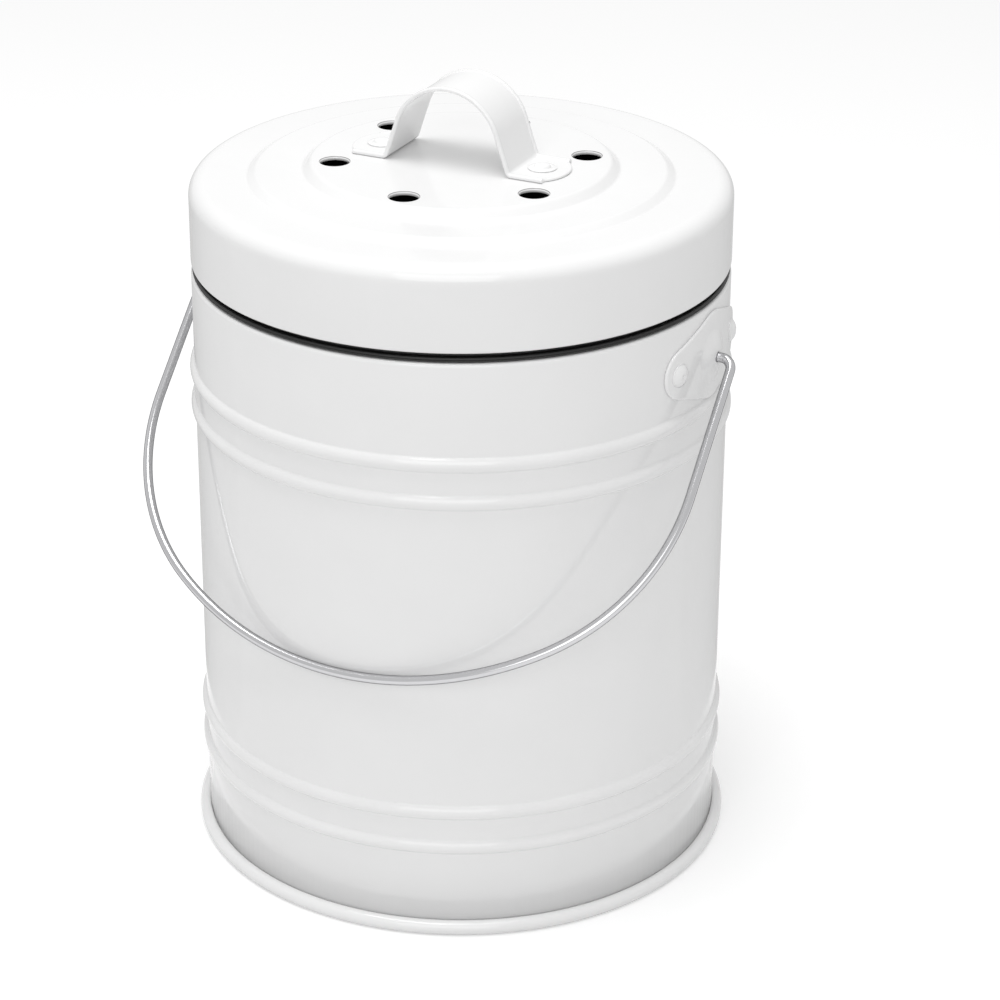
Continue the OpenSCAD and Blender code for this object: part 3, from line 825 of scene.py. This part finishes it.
def strap_path(p):
    """Upper face of one half of the strap in side view, from its foot's end to the arch's top, with normals.

    The face runs level along the foot, round the bend, up the leaning leg and along the arch. Its pieces are
    arcs and straights that share their tangents.
    """
    lean = p.lean
    arch_z = p.height - p.arch
    top = np.array([p.arch * math.cos(lean), arch_z + p.arch * math.sin(lean)])
    rise = (top[1] + p.bend * math.sin(lean) - p.sheet - p.bend) / math.cos(lean)
    bend_x = top[0] + p.bend * math.cos(lean) + rise * math.sin(lean)
    tip = p.foot + p.bulge
    radius = tip - foot_centre(p)
    wide = math.asin((p.half - p.notch) / radius)
    end = foot_centre(p) + radius * np.cos(np.linspace(0, wide, 22))
    end[-1] = p.foot
    # Close rows where the hems end, then even ones to the bend
    hem_end = p.foot - np.array([0.04, 0.15, 0.4, 1.2]) * MM
    foot = np.concatenate([end, hem_end, np.linspace(p.foot - 2 * MM, bend_x, 14)])
    flat = np.stack([foot, np.full(len(foot), p.sheet)], -1)
    turn = 180 + math.degrees(lean)
    bend = arc((bend_x, p.sheet + p.bend), p.bend, 270, turn, 12)[1:]
    leg = bend[-1] + (top - bend[-1]) * np.linspace(0, 1, 8)[1:, None]
    crown = arc((0, arch_z), p.arch, math.degrees(lean), 90, 36)[1:]
    face = np.vstack([flat, bend, leg, crown])
    step = np.gradient(face, axis=0)
    step[: len(flat) - 1] = (-1, 0)
    step[-1] = (-1, 0)
    step /= np.linalg.norm(step, axis=1, keepdims=True)
    return face, np.stack([step[:, 1], -step[:, 0]], -1)


def foot_centre(p):
    """Where the circle of the foot's round end has its centre, for its width and its bulge."""
    wide = p.half - p.notch
    return p.foot + p.bulge - (wide**2 + p.bulge**2) / (2 * p.bulge)


def strap_points(p, lift):
    """Grid of the whole strap: rows run along it, columns go round its section.

    The sheet's edge is a full round, set by the depth d inside the outline, and each hem adds its height
    times a smooth step up near the edge and one down at its inner side.
    """
    face, normal = strap_path(p)
    face = np.vstack([face, (face * [-1, 1])[-2::-1]])
    normal = np.vstack([normal, (normal * [-1, 1])[-2::-1]])
    x = np.abs(face[:, 0])
    on_foot = np.isclose(face[:, 1], p.sheet) & (x > p.foot - 2.1 * MM)
    radius = p.foot + p.bulge - foot_centre(p)
    tab = np.sqrt(np.maximum(radius**2 - (x - foot_centre(p)) ** 2, 0))
    past = on_foot & (x >= p.foot - 1e-7)
    wide = np.where(past, np.minimum(tab, p.half - p.notch), p.half)
    hemmed = np.where(on_foot, np.clip((p.foot - x) / (0.15 * MM), 0, 1), 1.0)
    near = np.array([0, 0.05, 0.17, 0.36, 0.6, 0.9, 1.2, 1.36, 1.44, 1.52, 1.6, 1.7, 1.8, 2.4]) * MM
    edge = 1 - np.concatenate([near / p.half, np.linspace(0.3, 1, 7)])
    share = np.concatenate([edge, -edge[-2::-1]])
    y = wide[:, None] * share
    round_depth = radius - np.hypot(x[:, None] - foot_centre(p), y)
    depth = np.maximum(np.where(past[:, None], round_depth, wide[:, None] - np.abs(y)), 0)
    hump = np.clip((p.hem_width + 0.1 * MM - depth) / (0.35 * MM), 0, 1)
    hump = hump * hump * (3 - 2 * hump) * hemmed[:, None] * p.hem
    thick = p.sheet + hump
    corner = thick / 2
    cut = corner - np.sqrt(np.maximum(corner**2 - np.clip(corner - depth, 0, corner) ** 2, 0))
    top = hump - cut
    bottom = -p.sheet + cut

    def off_face(height):
        """The grid's points at a height over the strap's upper face."""
        across, up = face[:, :1] + normal[:, :1] * height, face[:, 1:] + normal[:, 1:] * height
        return np.stack([across, y, up + lift], -1)

    return np.concatenate([off_face(top), off_face(bottom)[:, ::-1]], 1)


class CADDY_OT_handle(bpy.types.Operator):
    """Adds the arched strap handle and its two rivets"""

    bl_idname = "caddy.handle"
    bl_label = "Strap handle"

    def execute(self, context):
        p = context.scene.caddy_handle
        base = LID_TOP + SEAT
        enamelled("strap", [(strap_points(p, base), False, True)], "lid", ["lid_handle"])
        for name, side in (("right", 1), ("left", -1)):
            at = np.array([side * p.rivet_x, 0, base + p.sheet + SEAT])
            axes = (np.array([1.0, 0, 0]), np.array([0, 1.0, 0]), np.array([0, 0, 1.0]))
            r = np.linspace(0, p.head_r - 0.25 * MM, 40)
            # A raised core, with a groove between it and the ring round it
            core_r = 2.75 * MM
            core = 1 / (1 + np.exp((r - core_r) / (0.16 * MM)))
            ring = 0.62 * MM * np.sqrt(np.maximum(1 - (r / p.head_r) ** 4, 0))
            groove = 0.28 * MM * np.exp(-(((r - 3.05 * MM) / (0.25 * MM)) ** 2))
            high = ring - groove + core * (0.75 * MM - 0.05 * MM * (r / core_r) ** 2)
            top = np.stack([r, high], -1)
            rim = arc((p.head_r - 0.25 * MM, 0.25 * MM), 0.25 * MM, 45, -90, 6)
            tail = np.array([(2.0, 0.0), (2.0, -1.85), (3.0, -1.95), (2.9, -2.6), (0, -3.0)]) * MM
            grid = head_grid(np.vstack([top, rim, tail]), 64, axes, at)
            grids = [(grid, True, False)]
            enamelled(f"strap_rivet_{name}", grids, "lid", [f"lid_rivet_{name}"])
        return {"FINISHED"}


def bar(first, last, width, low, high):
    """A straight rib between two points in plan: a rounded rectangle carried along the line."""
    first, last = np.asarray(first, float), np.asarray(last, float)
    along = (last - first) / np.linalg.norm(last - first)
    across = np.array([-along[1], along[0]])
    corners = [(-width / 2, low), (width / 2, low), (width / 2, high), (-width / 2, high)]
    section = fillets(corners, 0.4 * MM, steps=4)
    middle = np.array([0, (low + high) / 2])
    rows = []
    for spot, s in ((first, 0.0), (first, 1.0), (last, 1.0), (last, 0.0)):
        cut = middle + (section - middle) * s
        rows.append(np.concatenate([spot + cut[:, :1] * across, cut[:, 1:]], 1))
    return np.stack(rows)


class CADDY_OT_filter(bpy.types.Operator):
    """Adds the charcoal felt disc and the ribbed tray that holds it up in the lid"""

    bl_idname = "caddy.filter"
    bl_label = "Filter and tray"

    def execute(self, context):
        low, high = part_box("filter_holder")
        r, t, rib, wide = high.x, 1.8 * MM, 2 * MM, 3 * MM
        ledge, shelf = r - t - wide, low.z + rib
        wall = [(r, low.z), (r, high.z), (r - t, high.z), (r - t, shelf), (ledge, shelf), (ledge, low.z)]
        rounding = np.array([0.6, 0.6, 0.6, 0.5, 0.5, 0.5]) * MM
        grids = [(lathe(fillets(wall, rounding, steps=4)), True, True)]
        for k in (1, 2):
            out, within = k * r / 3 + wide / 2, k * r / 3 - wide / 2
            ring = [(out, low.z), (out, shelf), (within, shelf), (within, low.z)]
            grids.append((lathe(fillets(ring, 0.4 * MM, steps=4)), True, True))
        hub = [(0, shelf), (2 * wide, shelf), (2 * wide, low.z), (0, low.z)]
        grids.append((lathe(fillets(hub, 0.4 * MM, closed=False, steps=4), 64), True, False))
        for k in range(8):
            a = k * TURN / 8
            out = np.array([math.cos(a), math.sin(a)])
            grids.append((bar(out * wide, out * (r - t - wide / 2), wide, low.z, shelf), False, True))
        plastic = grained("Moulded polypropylene", context.scene.caddy_finish.plastic, 0.9, 0.02, 0.4, 0.5)
        piece("filter_tray", grids, plastic, "filter", ["filter_holder"])

        low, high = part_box("charcoal_filter")
        r = high.x
        disc = [(0, high.z), (r, high.z), (r, low.z), (0, low.z)]
        pad = fillets(disc, 1.6 * MM, closed=False)
        felt = grained("Charcoal felt", context.scene.caddy_finish.felt, 0.35, 0.25, 0.85, 1.0)
        grids = [(lathe(pad), True, False)]
        made = piece("charcoal_felt", grids, felt, "filter", ["charcoal_filter"])
        return {"FINISHED"}


# Studio


def lamp(name, energy, size, at, aim):
    """A square soft lamp at a place, turned to face its aim."""
    light = bpy.data.lights.new(name, "AREA")
    light.energy, light.size = energy, size
    made = bpy.data.objects.new(name, light)
    bpy.context.scene.collection.objects.link(made)
    made.location = at
    away = np.array(aim, float) - at
    yaw = math.atan2(away[0], -away[1])
    tilt = math.acos(-away[2] / np.linalg.norm(away))
    made.rotation_euler = (tilt, 0, yaw + math.pi)


def bounce_card(turn, radius, height):
    """A card bent round the back of the caddy, which only reflections show, so that its edges stand out
    against the white floor as they do between the flags of a studio.

    Its profile runs out along the floor, round a quarter circle and up. It is carried through half a turn
    about Z, and glows from white at its ends to grey in its middle.
    """
    inner, bend = 0.15, 0.03
    corner = arc((radius - bend, bend + 0.001), bend, -90, 0, 8)
    profile = np.vstack([[(inner, 0.001)], corner, [(radius, height)]])
    a = turn + np.linspace(0, math.pi, 49)[:, None]
    r, z = profile.T
    grid = np.stack([r * np.cos(a), r * np.sin(a), z + 0 * a], -1)
    mesh = bpy.data.meshes.new("studio_card")
    mesh.from_pydata(grid.reshape(-1, 3), [], quads(grid.shape[:2], False, False).tolist())
    share = np.repeat(np.linspace(0, 1, 49), len(profile))
    mesh.attributes.new("share", "FLOAT", "POINT").data.foreach_set("value", share)
    mesh.shade_smooth()
    card = bpy.data.objects.new("studio_card", mesh)
    bpy.context.scene.collection.objects.link(card)
    material, tree = blank("Grey card")
    share = node(tree, "ShaderNodeAttribute", attribute_name="share").outputs["Fac"]
    centred = node(tree, "ShaderNodeMath", {1: 0.5}, {0: share}, operation="SUBTRACT")
    off = node(tree, "ShaderNodeMath", links={0: centred.outputs[0]}, operation="ABSOLUTE")
    glow = node(
        tree,
        "ShaderNodeMapRange",
        {"From Min": 0.25, "From Max": 0.5, "To Min": 0.62, "To Max": 1.0},
        {"Value": off.outputs[0]},
        interpolation_type="SMOOTHSTEP",
    )
    light = node(tree, "ShaderNodeEmission", links={"Strength": glow.outputs["Result"]})
    node(tree, "ShaderNodeOutputMaterial", links={"Surface": light.outputs[0]})
    mesh.materials.append(material)
    card.visible_camera = card.visible_diffuse = card.visible_transmission = card.visible_shadow = False


def seen(tree):
    """1 where a ray comes from the camera, a reflection or glass, so that all see one background."""
    ray = node(tree, "ShaderNodeLightPath").outputs
    links = {0: ray["Is Camera Ray"], 1: ray["Is Glossy Ray"]}
    gloss = node(tree, "ShaderNodeMath", links=links, operation="MAXIMUM")
    links = {0: gloss.outputs[0], 1: ray["Is Transmission Ray"]}
    return node(tree, "ShaderNodeMath", links=links, operation="MAXIMUM").outputs[0]


class CADDY_OT_studio(bpy.types.Operator):
    """Adds the pale floor, the soft lamps, the white background and the camera"""

    bl_idname = "caddy.studio"
    bl_label = "Studio"

    def execute(self, context):
        s = context.scene.caddy_studio
        bpy.ops.mesh.primitive_plane_add(size=12)
        floor = context.object
        floor.name = "studio_floor"
        material, tree = blank("Paper floor")
        at = node(tree, "ShaderNodeTexCoord").outputs["Object"]
        fibre = node(tree, "ShaderNodeTexNoise", {"Scale": 400.0, "Detail": 2.0}, {"Vector": at})
        height = {"Height": fibre.outputs["Fac"]}
        bump = node(tree, "ShaderNodeBump", {"Strength": 0.1, "Distance": 0.02 * MM}, height)
        normal = {"Normal": bump.outputs["Normal"]}
        dull = node(tree, "ShaderNodeBsdfDiffuse", {"Color": linear("#E4E4E4")}, normal)
        lift = node(tree, "ShaderNodeEmission", {"Strength": 0.3})
        shown = node(tree, "ShaderNodeAddShader", links={0: dull.outputs[0], 1: lift.outputs[0]})
        links = {0: seen(tree), 1: dull.outputs[0], 2: shown.outputs[0]}
        either = node(tree, "ShaderNodeMixShader", links=links)
        node(tree, "ShaderNodeOutputMaterial", links={"Surface": either.outputs[0]})
        floor.data.materials.append(material)

        world = bpy.data.worlds.new("Studio")
        context.scene.world = world
        world.use_nodes = True
        tree = world.node_tree
        tree.nodes.clear()
        dim = node(tree, "ShaderNodeBackground", {"Strength": 0.7})
        white = node(tree, "ShaderNodeBackground", {"Strength": 1.0})
        links = {0: seen(tree), 1: dim.outputs[0], 2: white.outputs[0]}
        sky = node(tree, "ShaderNodeMixShader", links=links)
        node(tree, "ShaderNodeOutputWorld", links={"Surface": sky.outputs[0]})

        lamp("Overhead softbox", 17.0, 1.0, (-0.1, -0.18, 1.9), (0, 0, 0.1))
        lamp("Front softbox", 9.0, 1.4, (0.62, -1.7, 1.1), (0, 0, 0.12))
        bounce_card(s.turn, 0.2, 0.235)

        camera = bpy.data.objects.new("Camera", bpy.data.cameras.new("Camera"))
        context.scene.collection.objects.link(camera)
        camera.location = (s.away * math.sin(s.turn), -s.away * math.cos(s.turn), s.height)
        camera.rotation_euler = (math.pi / 2 - s.pitch, 0, s.turn)
        camera.data.lens, camera.data.sensor_width = s.lens, 36.0
        camera.data.shift_x = s.shift
        camera.data.clip_start = 0.05
        context.scene.camera = camera
        context.scene.view_settings.view_transform = "Standard"
        return {"FINISHED"}


GROUPS = {
    "caddy_pail": CaddyPail,
    "caddy_ears": CaddyEars,
    "caddy_bail": CaddyBail,
    "caddy_lid": CaddyLid,
    "caddy_handle": CaddyHandle,
    "caddy_finish": CaddyFinish,
    "caddy_studio": CaddyStudio,
}
OPERATORS = (
    CADDY_OT_pail,
    CADDY_OT_ears,
    CADDY_OT_bail,
    CADDY_OT_lid,
    CADDY_OT_seal,
    CADDY_OT_handle,
    CADDY_OT_filter,
    CADDY_OT_studio,
)


class CADDY_PT_panel(bpy.types.Panel):
    """Lists the caddy's pieces in the sidebar"""

    bl_idname = "CADDY_PT_panel"
    bl_label = "Compost Caddy"
    bl_space_type = "VIEW_3D"
    bl_region_type = "UI"
    bl_category = "Caddy"

    def draw(self, context):
        for operator in OPERATORS:
            self.layout.operator(operator.bl_idname)
        for name, group in GROUPS.items():
            box = self.layout.box()
            box.label(text=group.__doc__)
            for field in group.__annotations__:
                box.prop(getattr(context.scene, name), field)


def register():
    """Registers the classes and hangs each group of sizes on the scene."""
    for group in (*GROUPS.values(), *OPERATORS, CADDY_PT_panel):
        bpy.utils.register_class(group)
    for name, group in GROUPS.items():
        setattr(bpy.types.Scene, name, bpy.props.PointerProperty(type=group))


def unregister():
    """Undoes register."""
    for name in GROUPS:
        delattr(bpy.types.Scene, name)
    for group in reversed((*GROUPS.values(), *OPERATORS, CADDY_PT_panel)):
        bpy.utils.unregister_class(group)


def main():
    register()
    bpy.ops.caddy.pail()
    bpy.ops.caddy.ears()
    bpy.ops.caddy.bail()
    bpy.ops.caddy.lid()
    bpy.ops.caddy.seal()
    bpy.ops.caddy.handle()
    bpy.ops.caddy.filter()
    bpy.ops.caddy.studio()


if __name__ == "__main__":
    main()
